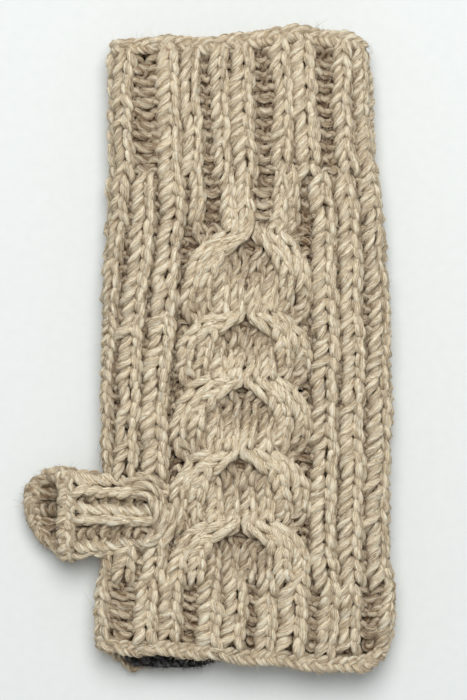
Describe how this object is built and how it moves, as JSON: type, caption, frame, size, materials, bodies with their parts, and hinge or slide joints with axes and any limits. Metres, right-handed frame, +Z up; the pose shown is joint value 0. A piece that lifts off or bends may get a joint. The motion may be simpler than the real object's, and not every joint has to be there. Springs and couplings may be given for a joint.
{
  "type": "fingerless glove",
  "caption": "Chunky hand-knitted fingerless glove with a horseshoe cable panel, ribbed cuffs, an open thumb tube and a dark fleece lining, lying flat on its palm.",
  "frame": {"origin": "centre of the flat palm side, on the plane that the glove rests on", "axes": "+Z up out of the back of the hand, +Y towards the wrist opening, -Y towards the finger opening, -X towards the thumb"},
  "size_m": [0.1195, 0.21, 0.018],
  "materials": {
    "wool_yarn": "plied oatmeal wool yarn, matt and fuzzy",
    "black_fleece": "black looped fleece",
    "sewing_thread": "black spun sewing thread"
  },
  "bodies": {
    "hand": {"back_cable_panel": "wool_yarn", "palm_panel": "wool_yarn", "left_side_rib": "wool_yarn", "right_side_rib": "wool_yarn", "finger_rib_cuff": "wool_yarn", "finger_bind_off_edge": "wool_yarn", "finger_hem_stitches": "sewing_thread", "wrist_bend_rows": "wool_yarn", "fleece_lining": "black_fleece", "lining_seam": "sewing_thread", "thumb_gusset": "wool_yarn"},
    "wrist_cuff": {"wrist_rib_cuff": "wool_yarn", "wrist_cast_on_edge": "wool_yarn", "wrist_hem_stitches": "sewing_thread"},
    "thumb_base": {"thumb_first_rounds": "wool_yarn"},
    "thumb": {"thumb_tube": "wool_yarn", "thumb_bind_off_edge": "wool_yarn"}
  },
  "joints": [
    {"name": "wrist_bend", "type": "hinge", "parent": "hand", "child": "wrist_cuff", "pos_m": [0, 0.055, 0.009], "axis": [1, 0, 0], "range_deg": [0, 60], "deforming": ["wrist_bend_rows", "fleece_lining", "lining_seam"]},
    {"name": "thumb_lift", "type": "hinge", "parent": "hand", "child": "thumb_base", "pos_m": [-0.047, -0.054, 0.005], "axis": [0, 1, 0], "range_deg": [0, 40], "deforming": ["thumb_gusset"]},
    {"name": "thumb_swing", "type": "hinge", "parent": "thumb_base", "child": "thumb", "pos_m": [-0.052, -0.054, 0.009], "axis": [0, 0, 1], "range_deg": [-25, 25], "deforming": ["thumb_first_rounds"]}
  ]
}
